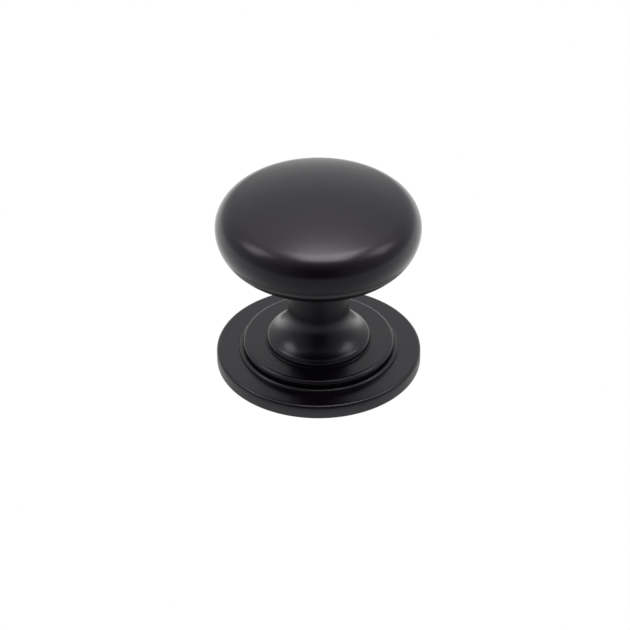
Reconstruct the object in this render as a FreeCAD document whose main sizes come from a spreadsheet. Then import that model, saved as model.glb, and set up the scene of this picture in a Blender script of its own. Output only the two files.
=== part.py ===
import FreeCAD, Part
import math
import os

import Sketcher

# A round cabinet knob standing on its stepped rose.
# Both pieces are turned, so each is half a section swept once round the upright axis.
# The base of the rose lies on Z = 0, where the cabinet door or drawer front would be.
# Lengths are in millimetres, angles in degrees.

SIZES = (
    # the rose, from the door up
    ("plate_margin", 0.0, "how far the plate reaches past the head, all round"),
    ("plate_thickness", 2.75, "flat plate of the rose"),
    ("plate_top_round", 0.6, "round on the plate's upper edge"),
    ("plate_base_round", 0.25, "round on the plate's lower edge"),
    ("ring_diameter", 29.7, "thin ring on the plate"),
    ("ring_height", 0.6, "thin ring above the plate"),
    ("ring_round", 0.55, "round that takes up nearly all of the ring's edge"),
    ("step_diameter", 28.1, "raised step, across its half-round edge"),
    ("step_height", 1.45, "raised step above the ring"),
    ("quirk_depth", 0.35, "how far the step's wall lies inside its edge"),
    ("quirk_height", 0.1, "straight wall left under the step's edge"),
    ("screw_hole_diameter", 4.5, "clearance hole for an M4 screw"),
    # the knob, from its foot up
    ("lip_diameter", 20.0, "thin lip that stands on the rose"),
    ("lip_height", 0.2, "thin lip, above the rose"),
    ("lip_round", 0.1, "round on the lip's upper edge"),
    ("foot_diameter", 19.4, "upright wall of the foot, above the lip"),
    ("foot_wall", 0.7, "height above the rose at which the upright wall ends"),
    ("foot_round", 0.9, "round from the foot's wall into the sweep"),
    ("sweep_radius", 6.7, "hollow sweep from the foot up to the neck"),
    ("neck_diameter", 11.3, "narrowest part of the knob"),
    ("neck_fillet", 1.8, "hollow corner between the neck and the head"),
    ("knob_height", 32.3, "underside of the foot to the top of the crown"),
    ("head_diameter", 38.0, "widest part of the head"),
    ("crown_height", 7.4, "widest line of the head to its top"),
    ("rim_round_above", 5.0, "round of the rim above its widest line"),
    ("rim_round_below", 6.6, "round of the rim below its widest line"),
    ("underside_depth", 9.2, "widest line of the head to its lowest point, inside the neck"),
    ("thread_core_diameter", 3.3, "core of the M4 thread that takes the fixing screw"),
    ("thread_depth", 15.0, "threaded length, from the foot up"),
    ("drill_point_angle", 118.0, "cone that the drill leaves"),
)


def make_sheet(doc):
    """Write one driving dimension on each row: its meaning, then its value under an alias."""
    sheet = doc.addObject("Spreadsheet::Sheet", "Sizes")
    for row, (alias, value, meaning) in enumerate(SIZES, start=1):
        sheet.set("A%d" % row, meaning)
        sheet.set("B%d" % row, str(value))
        sheet.setAlias("B%d" % row, alias)
    doc.recompute()
    return sheet


def make_body(doc, label):
    body = doc.addObject("PartDesign::Body", label)
    body.Label = label
    return body


def make_sketch(body, name, plane_role):
    """Add a sketch on one of the body's own origin planes."""
    sketch = body.newObject("Sketcher::SketchObject", name)
    plane = [item for item in body.Origin.OriginFeatures if item.Role == plane_role][0]
    sketch.AttachmentSupport = [(plane, "")]
    sketch.MapMode = "FlatFace"
    return sketch


# A sketch names a point as (geometry number, point number).
START, END, CENTRE = range(1, 4)
HORIZONTAL_AXIS, VERTICAL_AXIS = range(-1, -3, -1)
ORIGIN = (HORIZONTAL_AXIS, START)


def point(x, z):
    return FreeCAD.Vector(x, z, 0)


def add_line(sketch, start, end):
    return sketch.addGeometry(Part.LineSegment(point(*start), point(*end)), False)


def add_arc(sketch, centre, radius, start_angle, end_angle):
    """Add an arc that runs anticlockwise between two angles in radians."""
    circle = Part.Circle(point(*centre), FreeCAD.Vector(0, 0, 1), radius)
    return sketch.addGeometry(Part.ArcOfCircle(circle, start_angle, end_angle), False)


def relate(sketch, kind, *where):
    """Add a constraint with no size, such as Coincident, Tangent or Horizontal."""
    sketch.addConstraint(Sketcher.Constraint(kind, *where))


def measure(sketch, name, value, formula, kind, *where):
    """Add a named dimension, drawn at its value and bound to the sheet by its formula."""
    number = sketch.addConstraint(Sketcher.Constraint(kind, *where, value))
    sketch.renameConstraint(number, name)
    sketch.setExpression("Constraints." + name, formula)


def revolve(body, sketch, name):
    feature = body.newObject("PartDesign::Revolution", name)
    feature.Profile = sketch
    feature.ReferenceAxis = (sketch, ["V_Axis"])
    feature.Angle = 360
    return feature


# Two radii closer than this are the same edge's.
RADIUS_TOLERANCE = 1e-4


def ring_edge(feature, radius, height_range):
    """Name the round edge of this radius about the axis, between two heights."""
    low, high = height_range
    for number, edge in enumerate(feature.Shape.Edges, start=1):
        if edge.Degenerated or not isinstance(edge.Curve, Part.Circle):
            continue
        same_radius = abs(edge.Curve.Radius - radius) < RADIUS_TOLERANCE
        if same_radius and low < edge.Curve.Center.z < high:
            return "Edge%d" % number
    raise ValueError("%s has no edge of radius %g mm" % (feature.Name, radius))


def fillet(body, base, name, edge, formula):
    feature = body.newObject("PartDesign::Fillet", name)
    feature.Base = (base, [edge])
    feature.setExpression("Radius", formula)
    return feature


def arc_turn(rise, reach, round_radius):
    """Angle at which a rim arc meets the flatter arc that ends square on the axis.

    rise is from the widest line to the axis point, and reach is the widest radius.
    """
    inner = reach - round_radius
    flat_radius = (inner ** 2 / (rise - round_radius) + round_radius + rise) / 2
    return math.atan2(flat_radius - rise, inner), flat_radius


def make_head(body, size):
    """Sweep the head: a shallow crown, two rim rounds and a fuller underside."""
    widest = size.head_diameter / 2
    top = size.knob_height
    middle = top - size.crown_height
    bottom = middle - size.underside_depth
    above, below = size.rim_round_above, size.rim_round_below
    crown_turn, crown_radius = arc_turn(size.crown_height, widest, above)
    under_turn, under_radius = arc_turn(size.underside_depth, widest, below)

    sketch = make_sketch(body, "HeadSection", "XZ_Plane")
    crown = add_arc(sketch, (0, top - crown_radius), crown_radius, crown_turn, math.pi / 2)
    rim_above = add_arc(sketch, (widest - above, middle), above, 0, crown_turn)
    rim_below = add_arc(sketch, (widest - below, middle), below, -under_turn, 0)
    underside = add_arc(sketch, (0, bottom + under_radius), under_radius, -math.pi / 2, -under_turn)
    axis = add_line(sketch, (0, bottom), (0, top))

    relate(sketch, "Tangent", crown, START, rim_above, END)
    relate(sketch, "Tangent", rim_above, START, rim_below, END)
    relate(sketch, "Tangent", rim_below, START, underside, END)
    relate(sketch, "Coincident", underside, START, axis, START)
    relate(sketch, "Coincident", crown, END, axis, END)
    for arc, end in ((crown, END), (underside, START)):
        relate(sketch, "PointOnObject", arc, CENTRE, VERTICAL_AXIS)
        relate(sketch, "PointOnObject", arc, end, VERTICAL_AXIS)
    relate(sketch, "Horizontal", rim_above, CENTRE, rim_above, START)
    measure(sketch, "crown_top", top, "Sizes.knob_height", "DistanceY", *ORIGIN, crown, END)
    measure(sketch, "crown_rise", size.crown_height, "Sizes.crown_height",
            "DistanceY", rim_above, START, crown, END)
    measure(sketch, "underside_drop", size.underside_depth, "Sizes.underside_depth",
            "DistanceY", underside, START, rim_above, START)
    measure(sketch, "reach", widest, "Sizes.head_diameter / 2",
            "DistanceX", *ORIGIN, rim_above, START)
    measure(sketch, "rim_round_above", above, "Sizes.rim_round_above", "Radius", rim_above)
    measure(sketch, "rim_round_below", below, "Sizes.rim_round_below", "Radius", rim_below)
    return revolve(body, sketch, "Head")


def make_stem(body, size):
    """Sweep the neck and foot, whose top ends inside the head at its widest line."""
    lip, foot, neck = size.lip_diameter / 2, size.foot_diameter / 2, size.neck_diameter / 2
    lip_top, edge, wall = size.lip_height, size.lip_round, size.foot_wall
    convex, hollow = size.foot_round, size.sweep_radius
    top = size.knob_height - size.crown_height
    across = neck + hollow - (foot - convex)
    rise = math.sqrt((convex + hollow) ** 2 - across ** 2)
    turn = math.atan2(rise, across)
    sweep_top = wall + rise

    sketch = make_sketch(body, "StemSection", "XZ_Plane")
    sole = add_line(sketch, (0, 0), (lip, 0))
    lip_side = add_line(sketch, (lip, 0), (lip, lip_top - edge))
    lip_edge = add_arc(sketch, (lip - edge, lip_top - edge), edge, 0, math.pi / 2)
    ledge = add_line(sketch, (lip - edge, lip_top), (foot, lip_top))
    upright = add_line(sketch, (foot, lip_top), (foot, wall))
    upper_round = add_arc(sketch, (foot - convex, wall), convex, 0, turn)
    sweep = add_arc(sketch, (neck + hollow, sweep_top), hollow, math.pi, math.pi + turn)
    neck_side = add_line(sketch, (neck, sweep_top), (neck, top))
    lid = add_line(sketch, (neck, top), (0, top))
    axis = add_line(sketch, (0, top), (0, 0))

    relate(sketch, "Coincident", sole, START, *ORIGIN)
    relate(sketch, "Horizontal", sole)
    relate(sketch, "Coincident", sole, END, lip_side, START)
    relate(sketch, "Vertical", lip_side)
    relate(sketch, "Tangent", lip_side, END, lip_edge, START)
    relate(sketch, "Tangent", lip_edge, END, ledge, START)
    relate(sketch, "Horizontal", ledge)
    relate(sketch, "Coincident", ledge, END, upright, START)
    relate(sketch, "Vertical", upright)
    relate(sketch, "Tangent", upright, END, upper_round, START)
    relate(sketch, "Tangent", upper_round, END, sweep, END)
    relate(sketch, "Tangent", sweep, START, neck_side, START)
    relate(sketch, "Vertical", neck_side)
    relate(sketch, "Coincident", neck_side, END, lid, START)
    relate(sketch, "Horizontal", lid)
    relate(sketch, "Coincident", lid, END, axis, START)
    relate(sketch, "Coincident", axis, END, sole, START)
    relate(sketch, "Vertical", axis)
    measure(sketch, "lip_reach", lip, "Sizes.lip_diameter / 2", "DistanceX", *ORIGIN, lip_side, START)
    measure(sketch, "lip_height", lip_top, "Sizes.lip_height", "DistanceY", *ORIGIN, ledge, END)
    measure(sketch, "lip_round", edge, "Sizes.lip_round", "Radius", lip_edge)
    measure(sketch, "foot_reach", foot, "Sizes.foot_diameter / 2",
            "DistanceX", *ORIGIN, upright, END)
    measure(sketch, "foot_wall", wall, "Sizes.foot_wall", "DistanceY", *ORIGIN, upright, END)
    measure(sketch, "foot_round", convex, "Sizes.foot_round", "Radius", upper_round)
    measure(sketch, "sweep_radius", hollow, "Sizes.sweep_radius", "Radius", sweep)
    measure(sketch, "neck_reach", neck, "Sizes.neck_diameter / 2",
            "DistanceX", *ORIGIN, neck_side, END)
    measure(sketch, "stem_top", top, "Sizes.knob_height - Sizes.crown_height",
            "DistanceY", *ORIGIN, neck_side, END)
    return revolve(body, sketch, "Stem"), sweep_top


def make_thread_core(body):
    """Drill the blind core hole of the thread up from the foot."""
    sketch = make_sketch(body, "ThreadCentre", "XY_Plane")
    radius = body.Document.Sizes.thread_core_diameter / 2
    circle = sketch.addGeometry(Part.Circle(point(0, 0), FreeCAD.Vector(0, 0, 1), radius), False)
    relate(sketch, "Coincident", circle, CENTRE, *ORIGIN)
    measure(sketch, "core_radius", radius, "Sizes.thread_core_diameter / 2", "Radius", circle)
    body.Document.recompute()
    hole = body.newObject("PartDesign::Hole", "ThreadCore")
    hole.Profile = sketch
    hole.ThreadType = "None"
    hole.DepthType = "Dimension"
    hole.DrillPoint = "Angled"
    hole.DrillForDepth = False
    hole.Reversed = True
    hole.setExpression("Diameter", "Sizes.thread_core_diameter")
    hole.setExpression("Depth", "Sizes.thread_depth")
    hole.setExpression("DrillPointAngle", "Sizes.drill_point_angle")
    return hole


def make_knob(doc):
    """Turn the head, neck and foot in one piece, and drill it for the fixing screw."""
    size = doc.Sizes
    body = make_body(doc, "knob")
    make_head(body, size)
    stem, sweep_top = make_stem(body, size)
    doc.recompute()
    head_middle = size.knob_height - size.crown_height
    corner = ring_edge(stem, size.neck_diameter / 2, (sweep_top + size.neck_fillet, head_middle))
    fillet(body, stem, "NeckFillet", corner, "Sizes.neck_fillet")
    doc.recompute()
    undrilled = body.Shape.Volume
    make_thread_core(body)
    doc.recompute()
    if body.Shape.Volume >= undrilled:
        raise ValueError("the hole in the foot cut nothing")
    # the foot stands on the rose's top face
    body.setExpression("Placement.Base.z",
                       "Sizes.plate_thickness + Sizes.ring_height + Sizes.step_height")
    return body


def make_rose(doc):
    """Turn the plate with its thin ring and half-round step, and bore it for the screw."""
    size = doc.Sizes
    body = make_body(doc, "rose")
    plate = size.head_diameter / 2 + size.plate_margin
    ring, step = size.ring_diameter / 2, size.step_diameter / 2
    bore = size.screw_hole_diameter / 2
    wall = step - size.quirk_depth
    plate_top = size.plate_thickness
    ring_top = plate_top + size.ring_height
    step_top = ring_top + size.step_height
    quirk_top = ring_top + size.quirk_height
    # the step's edge touches the top face and its widest radius, and ends on the wall
    depth, height = size.quirk_depth, step_top - quirk_top
    bead = depth + height - math.sqrt(2 * depth * height)
    under_angle = math.atan2(quirk_top - (step_top - bead), wall - (step - bead))

    sketch = make_sketch(body, "RoseSection", "XZ_Plane")
    base = add_line(sketch, (bore, 0), (plate, 0))
    plate_side = add_line(sketch, (plate, 0), (plate, plate_top))
    plate_face = add_line(sketch, (plate, plate_top), (ring, plate_top))
    ring_side = add_line(sketch, (ring, plate_top), (ring, ring_top))
    ring_face = add_line(sketch, (ring, ring_top), (wall, ring_top))
    step_wall = add_line(sketch, (wall, ring_top), (wall, quirk_top))
    step_edge = add_arc(sketch, (step - bead, step_top - bead), bead, under_angle, math.pi / 2)
    step_face = add_line(sketch, (step - bead, step_top), (bore, step_top))
    bore_side = add_line(sketch, (bore, step_top), (bore, 0))
    limit = sketch.addGeometry(Part.LineSegment(point(step, ring_top), point(step, step_top)), True)

    outline = (base, plate_side, plate_face, ring_side, ring_face, step_wall)
    for line, following in zip(outline, outline[1:]):
        relate(sketch, "Coincident", line, END, following, START)
    relate(sketch, "Coincident", step_wall, END, step_edge, START)
    relate(sketch, "Tangent", step_edge, END, step_face, START)
    relate(sketch, "Coincident", step_face, END, bore_side, START)
    relate(sketch, "Coincident", bore_side, END, base, START)
    for line in (base, plate_face, ring_face, step_face):
        relate(sketch, "Horizontal", line)
    for line in (plate_side, ring_side, step_wall, bore_side, limit):
        relate(sketch, "Vertical", line)
    relate(sketch, "PointOnObject", base, START, HORIZONTAL_AXIS)
    relate(sketch, "PointOnObject", limit, START, ring_face)
    relate(sketch, "PointOnObject", limit, END, step_face)
    relate(sketch, "Tangent", step_edge, limit)
    measure(sketch, "bore_reach", bore, "Sizes.screw_hole_diameter / 2",
            "DistanceX", *ORIGIN, base, START)
    measure(sketch, "plate_reach", plate, "Sizes.head_diameter / 2 + Sizes.plate_margin",
            "DistanceX", *ORIGIN, base, END)
    measure(sketch, "ring_reach", ring, "Sizes.ring_diameter / 2",
            "DistanceX", *ORIGIN, ring_side, START)
    measure(sketch, "step_reach", step, "Sizes.step_diameter / 2",
            "DistanceX", *ORIGIN, limit, START)
    measure(sketch, "quirk_depth", size.quirk_depth, "Sizes.quirk_depth",
            "DistanceX", step_wall, START, limit, START)
    measure(sketch, "plate_thickness", plate_top, "Sizes.plate_thickness",
            "DistanceY", plate_side, START, plate_side, END)
    measure(sketch, "ring_height", size.ring_height, "Sizes.ring_height",
            "DistanceY", ring_side, START, ring_side, END)
    measure(sketch, "quirk_height", size.quirk_height, "Sizes.quirk_height",
            "DistanceY", step_wall, START, step_wall, END)
    measure(sketch, "step_height", size.step_height, "Sizes.step_height",
            "DistanceY", step_wall, START, step_face, START)

    turned = revolve(body, sketch, "Turned")
    doc.recompute()
    upper = ring_edge(turned, plate, (plate_top / 2, ring_top))
    plate_upper = fillet(body, turned, "PlateTopRound", upper, "Sizes.plate_top_round")
    doc.recompute()
    lower = ring_edge(plate_upper, plate, (-plate_top, plate_top / 2))
    plate_lower = fillet(body, plate_upper, "PlateBaseRound", lower, "Sizes.plate_base_round")
    doc.recompute()
    ring_upper = ring_edge(plate_lower, ring, (plate_top + size.ring_height / 2, step_top))
    fillet(body, plate_lower, "RingRound", ring_upper, "Sizes.ring_round")
    return body


def check(doc, bodies):
    """Stop if any object failed or any piece isn't one sound solid."""
    for item in doc.Objects:
        if "Invalid" in item.State or "Error" in item.State:
            raise ValueError("%s failed: %s" % (item.Name, item.State))
    for sketch in doc.findObjects("Sketcher::SketchObject"):
        if sketch.solve() != 0:
            raise ValueError("%s has constraints that disagree" % sketch.Name)
    for body in bodies:
        shape = body.Shape
        if shape.isNull() or not shape.isValid() or len(shape.Solids) != 1:
            raise ValueError("%s isn't one sound solid" % body.Label)


def main():
    doc = FreeCAD.newDocument("CabinetKnob")
    make_sheet(doc)
    bodies = [make_rose(doc), make_knob(doc)]
    doc.recompute()
    check(doc, bodies)
    os.makedirs("parts", exist_ok=True)
    for body in bodies:
        body.Shape.exportStep("parts/%s.step" % body.Label)
        box = body.Shape.optimalBoundingBox(True, False)
        print("%s: %.2f mm3, %.2f x %.2f mm, from Z %.2f to %.2f"
              % (body.Label, body.Shape.Volume, box.XLength, box.YLength, box.ZMin, box.ZMax))


main()
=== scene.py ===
# %% [markdown]
# # A satin black cabinet knob on its rose
#
# The real object is two turned pieces: a knob with a flattened ball head, a slim neck and a flared
# foot, and under it a stepped round backplate, which fitters call a rose. Both have one smooth
# satin black coat. This lesson builds the two pieces on a lathe made of Geometry Nodes, mixes the
# coat, lights the set as a product studio would, and puts the camera where the photographer stood.

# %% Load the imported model
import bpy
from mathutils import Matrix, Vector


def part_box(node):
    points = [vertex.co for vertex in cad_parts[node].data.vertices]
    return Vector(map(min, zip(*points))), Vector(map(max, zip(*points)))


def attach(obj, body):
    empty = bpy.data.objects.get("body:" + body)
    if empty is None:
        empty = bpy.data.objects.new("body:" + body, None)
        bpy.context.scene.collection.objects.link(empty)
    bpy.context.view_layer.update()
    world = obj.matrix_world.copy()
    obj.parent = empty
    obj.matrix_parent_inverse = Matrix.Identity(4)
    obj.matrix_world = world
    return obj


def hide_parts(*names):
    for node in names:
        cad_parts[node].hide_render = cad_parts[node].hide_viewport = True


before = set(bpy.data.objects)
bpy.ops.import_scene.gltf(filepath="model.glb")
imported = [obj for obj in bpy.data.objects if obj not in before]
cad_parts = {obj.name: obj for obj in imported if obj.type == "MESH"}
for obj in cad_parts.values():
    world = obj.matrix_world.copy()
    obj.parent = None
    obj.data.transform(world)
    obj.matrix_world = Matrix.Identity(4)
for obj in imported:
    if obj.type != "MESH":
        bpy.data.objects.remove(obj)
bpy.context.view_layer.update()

# %% Blender's modules
import math

import bpy
from mathutils import Matrix, Vector

MM = 0.001
TURN = 2 * math.pi

# %% [markdown]
# ## Sizes
#
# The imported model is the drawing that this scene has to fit. The box round each of its two nodes
# gives the places that matter most: how wide the head and the rose are, how high the knob stands,
# and the level where the foot rests on the rose. Reading them, rather than typing them again,
# keeps the looks in step with the drawing.

# %% Read the main sizes from the frame
knob_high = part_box("knob")[1]
rose_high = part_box("rose")[1]
HEAD_RADIUS = knob_high.x
PLATE_RADIUS = rose_high.x
SEAT = rose_high.z
KNOB_TOP = knob_high.z
print(f"head radius {HEAD_RADIUS / MM:.2f} mm, rose radius {PLATE_RADIUS / MM:.2f} mm")
print(f"seat at {SEAT / MM:.2f} mm, top at {KNOB_TOP / MM:.2f} mm")

# %% [markdown]
# ## Drawing a section
#
# A turned piece is known by its section: the line that the cutting tool follows, given as radius
# and height. The line could be traced freehand with a Bezier curve, but a metal turner works in
# arcs that run into one another and in straight cuts, and light shows every place where a
# freehand curve wavers. So each section is a chain of arcs and straight stretches.
#
# A straight stretch gets a guard point just inside each end. Smooth shading blends the directions
# of neighbouring faces, and the guard keeps that blend to a hair's width beside the corner
# instead of across the whole flat.

# %% Arcs and straight stretches
CHORD = 0.35 * MM
WIDEST_STEP = math.radians(7)
GUARD = 0.03 * MM
GUARD_SHARE = 0.25
SAME_POINT = 1e-8


def arc(radius_at, height_at, radius, start, end):
    """Points along an arc round (radius_at, height_at), from one angle to another."""
    sweep = abs(end - start)
    steps = math.ceil(max(radius * sweep / CHORD, sweep / WIDEST_STEP))
    angles = [start + (end - start) * i / steps for i in range(steps + 1)]
    return [(radius_at + radius * math.cos(a), height_at + radius * math.sin(a))
            for a in angles]


def straight(start, end):
    """The two ends of a straight cut, each with its guard point."""
    first, last = Vector(start), Vector(end)
    length = (last - first).length
    guard = (last - first) * min(GUARD / length, GUARD_SHARE)
    return [tuple(first), tuple(first + guard), tuple(last - guard), tuple(last)]


def joined(*stretches):
    """One chain of points, in which a point that only repeats the last one is dropped."""
    chain = []
    for point in (p for stretch in stretches for p in stretch):
        if not chain or (Vector(point) - Vector(chain[-1])).length > SAME_POINT:
            chain.append(point)
    return chain


# %% [markdown]
# ## The knob's section
#
# From below: a hole that goes up into the foot for the fixing screw, the thin lip that rests on
# the rose, the foot's short wall and round shoulder, the hollow sweep up into the neck, and the
# head. The head isn't a ball. Its crown and its underside are shallow arcs of large radius, and
# each runs into a tighter arc at the rim. Where two arcs meet smoothly, both centres lie on one
# line through the meeting point, and that gives each large radius from the height it has to reach.

# %% Sizes of the knob
FOOT_RADIUS = 9.7 * MM
FOOT_WALL = 0.3 * MM
FOOT_ROUND = 1.3 * MM
LIP_RADIUS = 10.0 * MM
LIP_HEIGHT = 0.2 * MM
LIP_ROUND = 0.1 * MM
SWEEP_RADIUS = 6.7 * MM
NECK_RADIUS = 5.65 * MM
NECK_FILLET = 1.8 * MM
CROWN_HEIGHT = 7.4 * MM
UNDERSIDE_DEPTH = 9.2 * MM
RIM_ROUND_ABOVE = 5.0 * MM
RIM_ROUND_BELOW = 6.6 * MM
HOLE_RADIUS = 1.65 * MM
HOLE_DEPTH = 15.0 * MM
DRILL_POINT = math.radians(118)


# %% The knob's section
def dome(rise, rim_round):
    """The radius of a shallow arc with this rise, and its angle where the rim takes over."""
    inner = HEAD_RADIUS - rim_round
    radius = (inner ** 2 / (rise - rim_round) + rim_round + rise) / 2
    return radius, math.atan2(radius - rise, inner)


def hole_section():
    """The drilled hole, from the tip of the drill's cone down to the mouth in the foot."""
    tip = HOLE_DEPTH + HOLE_RADIUS / math.tan(DRILL_POINT / 2)
    cone = straight((0, SEAT + tip), (HOLE_RADIUS, SEAT + HOLE_DEPTH))
    return joined(cone, straight((HOLE_RADIUS, SEAT + HOLE_DEPTH), (HOLE_RADIUS, SEAT)))


def foot_section():
    """The underside, the lip, the wall, the shoulder and the hollow sweep up to the neck."""
    lip_top = SEAT + LIP_HEIGHT
    lip_corner = LIP_RADIUS - LIP_ROUND
    shoulder_at = FOOT_RADIUS - FOOT_ROUND
    across = NECK_RADIUS + SWEEP_RADIUS - shoulder_at
    rise = math.sqrt((FOOT_ROUND + SWEEP_RADIUS) ** 2 - across ** 2)
    turn = math.atan2(rise, across)
    wall_top = SEAT + FOOT_WALL
    return joined(
        straight((HOLE_RADIUS, SEAT), (LIP_RADIUS, SEAT)),
        straight((LIP_RADIUS, SEAT), (LIP_RADIUS, lip_top - LIP_ROUND)),
        arc(lip_corner, lip_top - LIP_ROUND, LIP_ROUND, 0, math.pi / 2),
        straight((lip_corner, lip_top), (FOOT_RADIUS, lip_top)),
        straight((FOOT_RADIUS, lip_top), (FOOT_RADIUS, wall_top)),
        arc(shoulder_at, wall_top, FOOT_ROUND, 0, turn),
        arc(NECK_RADIUS + SWEEP_RADIUS, wall_top + rise, SWEEP_RADIUS, math.pi + turn, math.pi),
    )


def head_section():
    """The fillet at the top of the neck, the underside, the rim and the crown."""
    widest = KNOB_TOP - CROWN_HEIGHT
    below, below_turn = dome(UNDERSIDE_DEPTH, RIM_ROUND_BELOW)
    above, above_turn = dome(CROWN_HEIGHT, RIM_ROUND_ABOVE)
    below_centre = widest - UNDERSIDE_DEPTH + below
    above_centre = KNOB_TOP - above
    fillet_at = NECK_RADIUS + NECK_FILLET
    fillet_height = below_centre - math.sqrt((below + NECK_FILLET) ** 2 - fillet_at ** 2)
    meet = math.atan2(below_centre - fillet_height, -fillet_at)
    return joined(
        arc(fillet_at, fillet_height, NECK_FILLET, math.pi, meet),
        arc(0, below_centre, below, meet - math.pi, -below_turn),
        arc(HEAD_RADIUS - RIM_ROUND_BELOW, widest, RIM_ROUND_BELOW, -below_turn, 0),
        arc(HEAD_RADIUS - RIM_ROUND_ABOVE, widest, RIM_ROUND_ABOVE, 0, above_turn),
        arc(0, above_centre, above, above_turn, math.pi / 2),
    )


foot = foot_section()
head = head_section()
knob_section = joined(hole_section(), foot, straight(foot[-1], head[0]), head)
print(f"knob section: {len(knob_section)} points")

# %% [markdown]
# ## The rose's section
#
# The rose is a flat plate with softened edges. On it lies a thin ring whose edge is a quarter
# round, and on the ring a raised step whose edge is a fat half round. Under that half round the
# turner cut a quirk, a narrow groove that makes the dark line between step and ring. The screw's
# clearance hole goes straight through, so this section is a closed loop: its last point comes
# back to its first.

# %% Sizes of the rose
PLATE_THICKNESS = 2.75 * MM
PLATE_TOP_ROUND = 0.6 * MM
PLATE_BASE_ROUND = 0.25 * MM
RING_RADIUS = 14.85 * MM
RING_HEIGHT = 0.6 * MM
RING_ROUND = 0.55 * MM
STEP_RADIUS = 14.05 * MM
QUIRK_DEPTH = 0.35 * MM
QUIRK_HEIGHT = 0.1 * MM
SCREW_HOLE_RADIUS = 2.25 * MM


# %% The rose's section
def rose_outline():
    """Round the section once, from the hole's lower edge and back to it."""
    ring_top = PLATE_THICKNESS + RING_HEIGHT
    quirk_wall = STEP_RADIUS - QUIRK_DEPTH
    quirk_top = ring_top + QUIRK_HEIGHT
    reach, rise = QUIRK_DEPTH, SEAT - quirk_top
    bead = reach + rise - math.sqrt(2 * reach * rise)
    bead_at, bead_height = STEP_RADIUS - bead, SEAT - bead
    bead_start = math.atan2(quirk_top - bead_height, quirk_wall - bead_at)
    plate_corner, plate_edge = PLATE_RADIUS - PLATE_TOP_ROUND, PLATE_THICKNESS - PLATE_TOP_ROUND
    base_corner = PLATE_RADIUS - PLATE_BASE_ROUND
    ring_corner, ring_edge = RING_RADIUS - RING_ROUND, ring_top - RING_ROUND
    right = math.pi / 2
    return joined(
        straight((SCREW_HOLE_RADIUS, 0), (base_corner, 0)),
        arc(base_corner, PLATE_BASE_ROUND, PLATE_BASE_ROUND, -right, 0),
        straight((PLATE_RADIUS, PLATE_BASE_ROUND), (PLATE_RADIUS, plate_edge)),
        arc(plate_corner, plate_edge, PLATE_TOP_ROUND, 0, right),
        straight((plate_corner, PLATE_THICKNESS), (RING_RADIUS, PLATE_THICKNESS)),
        straight((RING_RADIUS, PLATE_THICKNESS), (RING_RADIUS, ring_edge)),
        arc(ring_corner, ring_edge, RING_ROUND, 0, right),
        straight((ring_corner, ring_top), (quirk_wall, ring_top)),
        straight((quirk_wall, ring_top), (quirk_wall, quirk_top)),
        arc(bead_at, bead_height, bead, bead_start, right),
        straight((bead_at, SEAT), (SCREW_HOLE_RADIUS, SEAT)),
        straight((SCREW_HOLE_RADIUS, SEAT), (SCREW_HOLE_RADIUS, 0)),
    )


rose_section = rose_outline()
print(f"rose section: {len(rose_section)} points")

# %% [markdown]
# ## A lathe of nodes
#
# Blender has a Screw modifier and a Spin tool that turn a line round an axis. Here the lathe is a
# node tree instead, because the same tree then serves every turned piece, and its sizes are named
# inputs that can be changed later. It works like this. The section's points are counted, and a
# flat grid is made with one row for each point and one column for each step round. Every point of
# the grid then looks up its own row's point of the section and is swung round the axis by its
# column's angle. Points that land together, at the poles and along the seam, are merged, so the
# skin is closed. Edges that turn sharply stay sharp and all others are shaded smooth.

# %% Helpers for building trees
def add_node(tree, kind, label, **settings):
    """A new node with a label, and with the given settings."""
    node = tree.nodes.new(kind)
    node.label = label
    for name, value in settings.items():
        setattr(node, name, value)
    return node


def add_input(tree, name, kind, value=None):
    """A named input of a tree, with its starting value."""
    socket = tree.interface.new_socket(name, in_out="INPUT", socket_type=kind)
    if value is not None:
        socket.default_value = value
    return socket


def add_output(tree, name, kind):
    """A named output of a tree."""
    return tree.interface.new_socket(name, in_out="OUTPUT", socket_type=kind)


# %% Build the lathe
STEPS_ROUND = 256
SHARP_FROM = math.radians(35)
WELD_DISTANCE = 1e-7


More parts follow.
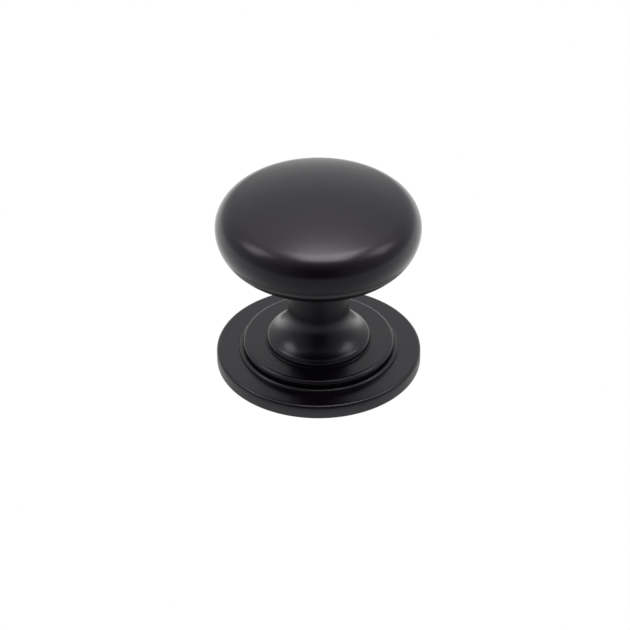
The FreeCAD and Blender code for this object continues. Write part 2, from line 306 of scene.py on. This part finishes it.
def make_lathe():
    """The tree that turns a section round the upright axis."""
    tree = bpy.data.node_groups.new("turn on the lathe", "GeometryNodeTree")
    add_input(tree, "Section", "NodeSocketGeometry")
    add_input(tree, "Steps round", "NodeSocketInt", STEPS_ROUND)
    add_input(tree, "Sharp from", "NodeSocketFloat", SHARP_FROM)
    add_input(tree, "Finish", "NodeSocketMaterial")
    add_output(tree, "Turned piece", "NodeSocketGeometry")
    link = tree.links.new
    given = add_node(tree, "NodeGroupInput", "Named sizes")
    made = add_node(tree, "NodeGroupOutput", "Turned piece")

    count = add_node(tree, "GeometryNodeAttributeDomainSize", "Points in the section")
    columns = add_node(tree, "FunctionNodeIntegerMath", "Columns", operation="ADD")
    grid = add_node(tree, "GeometryNodeMeshGrid", "Flat grid")
    link(given.outputs["Section"], count.inputs["Geometry"])
    link(given.outputs["Steps round"], columns.inputs[0])
    columns.inputs[1].default_value = 1
    link(columns.outputs[0], grid.inputs["Vertices X"])
    link(count.outputs["Point Count"], grid.inputs["Vertices Y"])

    index = add_node(tree, "GeometryNodeInputIndex", "Point's number")
    row = add_node(tree, "FunctionNodeIntegerMath", "Row", operation="MODULO")
    column = add_node(tree, "FunctionNodeIntegerMath", "Column", operation="DIVIDE_FLOOR")
    for node in (row, column):
        link(index.outputs["Index"], node.inputs[0])
        link(count.outputs["Point Count"], node.inputs[1])

    place = add_node(tree, "GeometryNodeInputPosition", "Section's point")
    look_up = add_node(tree, "GeometryNodeSampleIndex", "Look up the row",
                       data_type="FLOAT_VECTOR")
    link(given.outputs["Section"], look_up.inputs["Geometry"])
    link(place.outputs["Position"], look_up.inputs["Value"])
    link(row.outputs[0], look_up.inputs["Index"])

    share = add_node(tree, "ShaderNodeMath", "Share of a turn", operation="DIVIDE")
    angle = add_node(tree, "ShaderNodeMath", "Angle", operation="MULTIPLY")
    angle.inputs[1].default_value = TURN
    swing = add_node(tree, "ShaderNodeVectorRotate", "Swing round", rotation_type="Z_AXIS")
    link(column.outputs[0], share.inputs[0])
    link(given.outputs["Steps round"], share.inputs[1])
    link(share.outputs[0], angle.inputs[0])
    link(look_up.outputs["Value"], swing.inputs["Vector"])
    link(angle.outputs[0], swing.inputs["Angle"])

    bend = add_node(tree, "GeometryNodeSetPosition", "Bend the grid")
    close = add_node(tree, "GeometryNodeMergeByDistance", "Close seam and poles")
    close.inputs["Distance"].default_value = WELD_DISTANCE
    link(grid.outputs["Mesh"], bend.inputs["Geometry"])
    link(swing.outputs["Vector"], bend.inputs["Position"])
    link(bend.outputs["Geometry"], close.inputs["Geometry"])

    edge = add_node(tree, "GeometryNodeInputMeshEdgeAngle", "Edge's turn")
    sharp = add_node(tree, "FunctionNodeCompare", "Sharp edges", operation="GREATER_THAN")
    smooth = add_node(tree, "GeometryNodeSetShadeSmooth", "Smooth faces", domain="FACE")
    crisp = add_node(tree, "GeometryNodeSetShadeSmooth", "Crisp corners", domain="EDGE")
    crisp.inputs["Shade Smooth"].default_value = False
    link(edge.outputs["Unsigned Angle"], sharp.inputs[0])
    link(given.outputs["Sharp from"], sharp.inputs[1])
    link(close.outputs["Geometry"], smooth.inputs["Geometry"])
    link(smooth.outputs["Geometry"], crisp.inputs["Geometry"])
    link(sharp.outputs["Result"], crisp.inputs["Selection"])

    real = add_node(tree, "GeometryNodeRealizeInstances", "Plain mesh")
    paint = add_node(tree, "GeometryNodeSetMaterial", "Finish")
    link(crisp.outputs["Geometry"], real.inputs["Geometry"])
    link(real.outputs["Geometry"], paint.inputs["Geometry"])
    link(given.outputs["Finish"], paint.inputs["Material"])
    link(paint.outputs["Geometry"], made.inputs["Turned piece"])
    return tree


lathe = make_lathe()
print("lathe inputs", [s.name for s in lathe.interface.items_tree if s.in_out == "INPUT"])

# %% [markdown]
# ## The coat
#
# The real finish is a thin black coat, sprayed on and baked, with a satin gloss. The black itself
# is very deep: nearly all of the light that reaches the eye is reflected by the coat's skin. A
# plain black with one roughness would look like plastic, so the coat gets what a sprayed coat
# has: patches that dried a little glossier or duller, a black that isn't quite even, and the
# faint rippled skin called orange peel. Both materials use these, so they are one shader node
# group with named inputs, and each material places it with its own values.

# %% A node group for a sprayed coat's unevenness
PATCH_DETAIL, RIPPLE_DETAIL = 3.0, 1.0
PATCH_LOW, PATCH_HIGH = 0.3, 0.7
COLOUR_A, COLOUR_B, MIXED_COLOUR = 6, 7, 2    # a Mix node's colour sockets, by place


def make_coat_group():
    """Colour, roughness and height that drift over the surface, from a place on the piece."""
    tree = bpy.data.node_groups.new("sprayed coat", "ShaderNodeTree")
    add_input(tree, "Place", "NodeSocketVector")
    add_input(tree, "Patch scale", "NodeSocketFloat", 120.0)
    add_input(tree, "Ripple scale", "NodeSocketFloat", 900.0)
    add_input(tree, "Deep colour", "NodeSocketColor", (0.002, 0.002, 0.002, 1))
    add_input(tree, "Thin colour", "NodeSocketColor", (0.004, 0.004, 0.004, 1))
    add_input(tree, "Glossy", "NodeSocketFloat", 0.2)
    add_input(tree, "Dull", "NodeSocketFloat", 0.25)
    add_output(tree, "Colour", "NodeSocketColor")
    add_output(tree, "Roughness", "NodeSocketFloat")
    add_output(tree, "Height", "NodeSocketFloat")
    link = tree.links.new
    given = add_node(tree, "NodeGroupInput", "Named values")
    made = add_node(tree, "NodeGroupOutput", "Results")

    patches = add_node(tree, "ShaderNodeTexNoise", "Patches")
    patches.inputs["Detail"].default_value = PATCH_DETAIL
    link(given.outputs["Place"], patches.inputs["Vector"])
    link(given.outputs["Patch scale"], patches.inputs["Scale"])

    gloss = add_node(tree, "ShaderNodeMapRange", "Gloss")
    gloss.inputs["From Min"].default_value = PATCH_LOW
    gloss.inputs["From Max"].default_value = PATCH_HIGH
    link(patches.outputs["Fac"], gloss.inputs["Value"])
    link(given.outputs["Glossy"], gloss.inputs["To Min"])
    link(given.outputs["Dull"], gloss.inputs["To Max"])

    tone = add_node(tree, "ShaderNodeMix", "Tone", data_type="RGBA")
    link(patches.outputs["Fac"], tone.inputs["Factor"])
    link(given.outputs["Deep colour"], tone.inputs[COLOUR_A])
    link(given.outputs["Thin colour"], tone.inputs[COLOUR_B])

    ripple = add_node(tree, "ShaderNodeTexNoise", "Orange peel")
    ripple.inputs["Detail"].default_value = RIPPLE_DETAIL
    link(given.outputs["Place"], ripple.inputs["Vector"])
    link(given.outputs["Ripple scale"], ripple.inputs["Scale"])

    link(tone.outputs[MIXED_COLOUR], made.inputs["Colour"])
    link(gloss.outputs["Result"], made.inputs["Roughness"])
    link(ripple.outputs["Fac"], made.inputs["Height"])
    return tree


sprayed_coat = make_coat_group()

# %% Two coats of the same black
BLACK_DEEP = (0.0019, 0.0008, 0.0026, 1)
BLACK_THIN = (0.0026, 0.0012, 0.0034, 1)
GLOSS_TINT = (0.92, 0.88, 0.95, 1)
COAT_IOR = 1.5
GLOSSY, DULL = 0.24, 0.28
RIPPLE_SCALE, RIPPLE_HEIGHT = 900, 0.002 * MM


def coated(name, patch_scale):
    """A satin black material: the coat group feeds colour, roughness and a faint bump."""
    material = bpy.data.materials.new(name)
    material.use_nodes = True
    tree = material.node_tree
    shader = tree.nodes["Principled BSDF"]
    shader.inputs["IOR"].default_value = COAT_IOR
    shader.inputs["Specular Tint"].default_value = GLOSS_TINT
    place = add_node(tree, "ShaderNodeTexCoord", "Place on the piece")
    coat = add_node(tree, "ShaderNodeGroup", "Sprayed coat", node_tree=sprayed_coat)
    for value, setting in (("Patch scale", patch_scale), ("Ripple scale", RIPPLE_SCALE),
                           ("Deep colour", BLACK_DEEP), ("Thin colour", BLACK_THIN),
                           ("Glossy", GLOSSY), ("Dull", DULL)):
        coat.inputs[value].default_value = setting
    skin = add_node(tree, "ShaderNodeBump", "Rippled skin")
    skin.inputs["Distance"].default_value = RIPPLE_HEIGHT
    tree.links.new(place.outputs["Object"], coat.inputs["Place"])
    tree.links.new(coat.outputs["Colour"], shader.inputs["Base Color"])
    tree.links.new(coat.outputs["Roughness"], shader.inputs["Roughness"])
    tree.links.new(coat.outputs["Height"], skin.inputs["Height"])
    tree.links.new(skin.outputs["Normal"], shader.inputs["Normal"])
    return material


knob_coat = coated("satin black knob", patch_scale=120)
rose_coat = coated("satin black rose", patch_scale=160)
print("materials", knob_coat.name, "and", rose_coat.name)

# %% [markdown]
# ## Turning the two pieces
#
# Each section becomes a mesh of points and edges only, and the lathe is put on it as a modifier.
# The modifier's inputs are set by their identifiers before Blender works the object out for the
# first time. The result is then kept as a plain mesh and the modifier is taken away, so that the
# finished piece is real geometry with its place in its vertices.

# %% Turn a section into a solid
def turned(name, section, finish):
    """The turned piece as a plain mesh object at the origin."""
    outline = bpy.data.meshes.new(name + " section")
    points = [(radius, 0, height) for radius, height in section]
    outline.from_pydata(points, [(i, i + 1) for i in range(len(points) - 1)], [])
    piece = bpy.data.objects.new(name, outline)
    bpy.context.collection.objects.link(piece)
    modifier = piece.modifiers.new("lathe", "NODES")
    modifier.node_group = lathe
    inputs = {s.name: s.identifier for s in lathe.interface.items_tree if s.in_out == "INPUT"}
    modifier[inputs["Steps round"]] = STEPS_ROUND
    modifier[inputs["Sharp from"]] = SHARP_FROM
    modifier[inputs["Finish"]] = finish
    result = piece.evaluated_get(bpy.context.evaluated_depsgraph_get())
    solid = bpy.data.meshes.new_from_object(result)
    solid.name = name
    piece.modifiers.clear()
    piece.data = solid
    bpy.data.meshes.remove(outline)
    return piece


def volume(mesh):
    """The space inside a closed mesh, which is above nought where its faces point outwards."""
    total = 0.0
    mesh.calc_loop_triangles()
    for triangle in mesh.loop_triangles:
        a, b, c = (mesh.vertices[i].co for i in triangle.vertices)
        total += a.dot(b.cross(c)) / 6
    return total


knob = turned("knob_turned", knob_section, knob_coat)
rose = turned("rose_turned", rose_section, rose_coat)
for piece in (knob, rose):
    space = volume(piece.data) / MM ** 3
    print(f"{piece.name}: {len(piece.data.loop_triangles)} triangles, {space:.0f} cubic mm")

# %% [markdown]
# ## Standing in for the drawing
#
# The drawing's own two solids are cut into small flat triangles, and a glossy black would show
# every one of them. The turned pieces have the same sections, only with the foot's shoulder up to
# a sixth of a millimetre rounder, so they take the solids' places. Nothing on a cabinet knob
# moves, so both ride on the one body.

# %% Replace the drawing's two nodes
for piece, node in ((knob, "knob"), (rose, "rose")):
    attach(piece, "root")
    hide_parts(node)

# %% [markdown]
# ## The set
#
# A glossy black object shows almost nothing of itself and almost all of the room round it, so
# the room is what has to be built. In the photograph the ground and the back are pure white
# and there is no shadow, while the coat mirrors a room that is dark on the camera's side and
# bright at the sides and behind. A white card and a big light tent could do both. Here one
# node group tells how bright the room is in each direction round the knob. It is placed for the
# walls, for the tent's roof and for three zones of the floor, and rays that come straight from
# the camera see plain white.

# %% How bright the room is, by direction
FRONT_QUARTER = math.cos(math.radians(35))
STRAIGHT_AHEAD = math.cos(math.radians(12))
VALUE_A, VALUE_B = 2, 3    # a Mix node's number sockets, by place


def make_room_group():
    """Brightness of the room towards a direction, from the camera's side round to the back."""
    tree = bpy.data.node_groups.new("room brightness", "ShaderNodeTree")
    add_input(tree, "Direction", "NodeSocketVector")
    for name in ("In front", "Front quarter", "Beside", "Behind"):
        add_input(tree, name, "NodeSocketFloat", 1.0)
    add_output(tree, "Brightness", "NodeSocketFloat")
    link = tree.links.new
    given = add_node(tree, "NodeGroupInput", "Named values")
    made = add_node(tree, "NodeGroupOutput", "Results")

    level = add_node(tree, "ShaderNodeVectorMath", "Level direction", operation="MULTIPLY")
    level.inputs[1].default_value = (1, 1, 0)
    unit = add_node(tree, "ShaderNodeVectorMath", "Length of one", operation="NORMALIZE")
    facing = add_node(tree, "ShaderNodeVectorMath", "Towards the camera's side",
                      operation="DOT_PRODUCT")
    facing.inputs[1].default_value = (0, -1, 0)
    link(given.outputs["Direction"], level.inputs[0])
    link(level.outputs[0], unit.inputs[0])
    link(unit.outputs[0], facing.inputs[0])

    stretches = (("Beside", "Behind", 0.0, -1.0), ("Beside", "Front quarter", 0.0, FRONT_QUARTER),
                 ("Front quarter", "In front", FRONT_QUARTER, STRAIGHT_AHEAD))
    steps = []
    for start, end, low, high in stretches:
        step = add_node(tree, "ShaderNodeMapRange", f"{start} to {end}")
        step.inputs["From Min"].default_value = low
        step.inputs["From Max"].default_value = high
        link(facing.outputs["Value"], step.inputs["Value"])
        link(given.outputs[start], step.inputs["To Min"])
        link(given.outputs[end], step.inputs["To Max"])
        steps.append(step)
    front_half = add_node(tree, "ShaderNodeMath", "In the front half", operation="GREATER_THAN")
    front_half.inputs[1].default_value = 0.0
    in_quarter = add_node(tree, "ShaderNodeMath", "Nearer than the quarter",
                          operation="GREATER_THAN")
    in_quarter.inputs[1].default_value = FRONT_QUARTER
    near = add_node(tree, "ShaderNodeMix", "Front half", data_type="FLOAT")
    whole = add_node(tree, "ShaderNodeMix", "All round", data_type="FLOAT")
    link(facing.outputs["Value"], front_half.inputs[0])
    link(facing.outputs["Value"], in_quarter.inputs[0])
    link(in_quarter.outputs[0], near.inputs[0])
    link(steps[1].outputs["Result"], near.inputs[VALUE_A])
    link(steps[2].outputs["Result"], near.inputs[VALUE_B])
    link(front_half.outputs[0], whole.inputs[0])
    link(steps[0].outputs["Result"], whole.inputs[VALUE_A])
    link(near.outputs[0], whole.inputs[VALUE_B])
    link(whole.outputs[0], made.inputs["Brightness"])
    return tree


room = make_room_group()

# %% The walls and the roof of the tent
WALLS = {"In front": 0.05, "Front quarter": 0.22, "Beside": 0.56, "Behind": 0.85}
ROOF = {"In front": 0.30, "Front quarter": 0.40, "Beside": 1.00, "Behind": 1.40}
WALLS_END, ROOF_STARTS = math.sin(math.radians(40)), math.sin(math.radians(75))


def room_at(tree, direction, brightness):
    """The room group placed in a tree, with its four values."""
    node = add_node(tree, "ShaderNodeGroup", "Room brightness", node_tree=room)
    for name, value in brightness.items():
        node.inputs[name].default_value = value
    tree.links.new(direction, node.inputs["Direction"])
    return node.outputs["Brightness"]


world = bpy.data.worlds.new("studio")
bpy.context.scene.world = world
world.use_nodes = True
tree = world.node_tree
tree.nodes.clear()
link = tree.links.new
direction = add_node(tree, "ShaderNodeTexCoord", "Direction of the ray")
parts = add_node(tree, "ShaderNodeSeparateXYZ", "How steeply it rises")
tent = add_node(tree, "ShaderNodeMapRange", "From the walls to the roof")
tent.inputs["From Min"].default_value = WALLS_END
tent.inputs["From Max"].default_value = ROOF_STARTS
seen = add_node(tree, "ShaderNodeLightPath", "Kind of ray")
mirrored = add_node(tree, "ShaderNodeBackground", "What the coat mirrors")
plain = add_node(tree, "ShaderNodeBackground", "Plain white")
plain.inputs["Color"].default_value = (1, 1, 1, 1)
mirrored.inputs["Color"].default_value = (1, 1, 1, 1)
choice = add_node(tree, "ShaderNodeMixShader", "Camera sees white")
out = add_node(tree, "ShaderNodeOutputWorld", "World")
link(direction.outputs["Generated"], parts.inputs["Vector"])
link(parts.outputs["Z"], tent.inputs["Value"])
link(room_at(tree, direction.outputs["Generated"], WALLS), tent.inputs["To Min"])
link(room_at(tree, direction.outputs["Generated"], ROOF), tent.inputs["To Max"])
link(tent.outputs["Result"], mirrored.inputs["Strength"])
link(seen.outputs["Is Camera Ray"], choice.inputs["Fac"])
link(mirrored.outputs[0], choice.inputs[1])
link(plain.outputs[0], choice.inputs[2])
link(choice.outputs[0], out.inputs["Surface"])

# %% [markdown]
# ## The floor
#
# The floor is a plain pale sheet at the rose's underside. A floor that only caught light would
# come out grey beside a black object with no shadow, so this one glows: pure white towards the
# camera, and in reflections with painted light as bright as the room group says. The coat shows
# how it has to fade: the plate's upright edge mirrors a bright rim of painted glow close to it,
# the neck mirrors a dim ring of painted shade a little further out, and beyond that the painted
# glow is bright again. From below the floor is clear, so that the rose's underside can be looked
# at.

# %% Lay the floor
FLOOR_REACH = 1.5
# The floor's glow in reflections is painted light: a bright painted rim by the rose, a ring of
# painted shade a little further out, then the open floor, each brighter or darker by direction.
PAINTED_GLOW_RIM = {"In front": 1.00, "Front quarter": 0.85, "Beside": 0.55, "Behind": 0.60}
PAINTED_SHADE_RING = {"In front": 0.12, "Front quarter": 0.30, "Beside": 0.35, "Behind": 0.50}
PAINTED_GLOW_OPEN_FLOOR = {"In front": 0.45, "Front quarter": 0.52, "Beside": 1.12, "Behind": 1.55}
PAINTED_GLOW_FADES, PAINTED_SHADE_STARTS = 20.5 * MM, 23.5 * MM
PAINTED_SHADE_FADES, OPEN_STARTS = 28 * MM, 33 * MM


def make_floor_paper():
    """White paper whose glow in reflections is painted light, with a ring of painted shade round
    the rose, clear from below.
    """
    material = bpy.data.materials.new("white paper with painted glow and shade")
    material.use_nodes = True
    tree = material.node_tree
    tree.nodes.clear()
    link = tree.links.new
    place = add_node(tree, "ShaderNodeTexCoord", "Place on the floor")
    seen = add_node(tree, "ShaderNodeLightPath", "Kind of ray")
    side = add_node(tree, "ShaderNodeNewGeometry", "Which side")
    mirrored = add_node(tree, "ShaderNodeEmission", "What the coat mirrors")
    plain = add_node(tree, "ShaderNodeEmission", "Plain white")
    clear = add_node(tree, "ShaderNodeBsdfTransparent", "Clear")
    choice = add_node(tree, "ShaderNodeMixShader", "Camera sees white")
    below = add_node(tree, "ShaderNodeMixShader", "Clear from below")
    out = add_node(tree, "ShaderNodeOutputMaterial", "Paper")
    distance = add_node(tree, "ShaderNodeVectorMath", "Distance from the axis",
                        operation="LENGTH")
    near = add_node(tree, "ShaderNodeMapRange", "From the painted glow rim to the painted shade ring")
    near.inputs["From Min"].default_value = PAINTED_GLOW_FADES
    near.inputs["From Max"].default_value = PAINTED_SHADE_STARTS
    whole = add_node(tree, "ShaderNodeMapRange", "From the painted shade ring to the open floor")
    whole.inputs["From Min"].default_value = PAINTED_SHADE_FADES
    whole.inputs["From Max"].default_value = OPEN_STARTS
    link(place.outputs["Object"], distance.inputs[0])
    for zone in (near, whole):
        link(distance.outputs["Value"], zone.inputs["Value"])
    # Painted glow close to the rose, fading into a ring of painted shade, then the open floor's
    # painted glow.
    link(room_at(tree, place.outputs["Object"], PAINTED_GLOW_RIM), near.inputs["To Min"])
    link(room_at(tree, place.outputs["Object"], PAINTED_SHADE_RING), near.inputs["To Max"])
    link(near.outputs["Result"], whole.inputs["To Min"])
    link(room_at(tree, place.outputs["Object"], PAINTED_GLOW_OPEN_FLOOR), whole.inputs["To Max"])
    link(whole.outputs["Result"], mirrored.inputs["Strength"])
    link(seen.outputs["Is Camera Ray"], choice.inputs["Fac"])
    link(mirrored.outputs[0], choice.inputs[1])
    link(plain.outputs[0], choice.inputs[2])
    link(side.outputs["Backfacing"], below.inputs["Fac"])
    link(choice.outputs[0], below.inputs[1])
    link(clear.outputs[0], below.inputs[2])
    link(below.outputs[0], out.inputs["Surface"])
    return material


sheet = bpy.data.meshes.new("floor")
corners = [(x * FLOOR_REACH, y * FLOOR_REACH, 0) for x, y in ((-1, -1), (1, -1), (1, 1), (-1, 1))]
sheet.from_pydata(corners, [], [(0, 1, 2, 3)])
sheet.materials.append(make_floor_paper())
floor = bpy.data.objects.new("floor", sheet)
bpy.context.collection.objects.link(floor)
print("floor", 2 * FLOOR_REACH, "m square, glowing")

# %% [markdown]
# ## The lights
#
# Three soft highlights tell where the studio's lights were: a wide one over the crown, and a
# small lens-shaped one on each shoulder of the head. Each is the mirror image of a softbox, so
# its place and size follow from the head's shape. A Blender area light is given in watts, and
# what matters in a mirror is how bright each patch of it looks, so the power is worked out from
# that brightness and the box's area.

# %% Hang the softboxes
def softbox(name, place, wide, deep, brightness):
    """A rectangular area light that faces the knob."""
    light = bpy.data.lights.new(name, "AREA")
    light.shape = "RECTANGLE"
    light.size = wide
    light.size_y = deep
    light.energy = brightness * wide * deep * math.pi
    lamp = bpy.data.objects.new(name, light)
    bpy.context.collection.objects.link(lamp)
    aim = (Vector((0, 0, KNOB_TOP)) - Vector(place)).to_track_quat("-Z", "Y")
    lamp.matrix_world = Matrix.Translation(place) @ aim.to_matrix().to_4x4()
    return lamp


softbox("top softbox", (0.06, 0.0, 0.8), 0.46, 0.46, 4.9)
softbox("left softbox", (-0.69, 0.01, 0.69), 0.32, 0.36, 2.8)
softbox("right softbox", (0.69, 0.01, 0.69), 0.32, 0.36, 2.3)

# %% [markdown]
# ## The camera
#
# The head, the foot and the rose are circles, and circles seen at a slant are ellipses. How flat
# each one is, and how its width and place compare with the others, fix the camera: its height
# above the door's plane, its distance and where it points. It is a long lens, aimed so that the
# middle of the rose's underside falls on its own place in the picture. Nothing is shifted. The
# camera also leans by a fifth of a degree, as a tripod levelled by eye does, and that sets the
# head a hair to the left of the rose.

# %% Place the camera
PICTURE = 630
PIXELS_PER_METRE = 5341.7
ORIGIN_ACROSS, ORIGIN_DOWN = 318.67, 357.76
CAMERA_RISE = math.radians(36.25)
CAMERA_DISTANCE = 0.8144
CAMERA_ROLL = math.radians(-0.18)
SENSOR_WIDTH = 36
NEAREST, FARTHEST = 0.01, 20

camera_data = bpy.data.cameras.new("camera")
camera = bpy.data.objects.new("camera", camera_data)
bpy.context.collection.objects.link(camera)
focal_pixels = PIXELS_PER_METRE * CAMERA_DISTANCE
camera_data.sensor_width = SENSOR_WIDTH
camera_data.lens = SENSOR_WIDTH * focal_pixels / PICTURE
camera_data.clip_start, camera_data.clip_end = NEAREST, FARTHEST
stand = (0, -CAMERA_DISTANCE * math.cos(CAMERA_RISE), CAMERA_DISTANCE * math.sin(CAMERA_RISE))
pose = Matrix.Translation(stand)
for turn, axis in ((math.pi / 2 - CAMERA_RISE, "X"), (CAMERA_ROLL, "Z"),
                   (math.atan((ORIGIN_DOWN - PICTURE / 2) / focal_pixels), "X"),
                   (math.atan((ORIGIN_ACROSS - PICTURE / 2) / focal_pixels), "Y")):
    pose = pose @ Matrix.Rotation(turn, 4, axis)
camera.matrix_world = pose
bpy.context.scene.camera = camera
bpy.context.scene.view_settings.view_transform = "Standard"
print(f"camera: {camera_data.lens:.0f} mm lens, {math.degrees(CAMERA_RISE):.1f} degrees up")
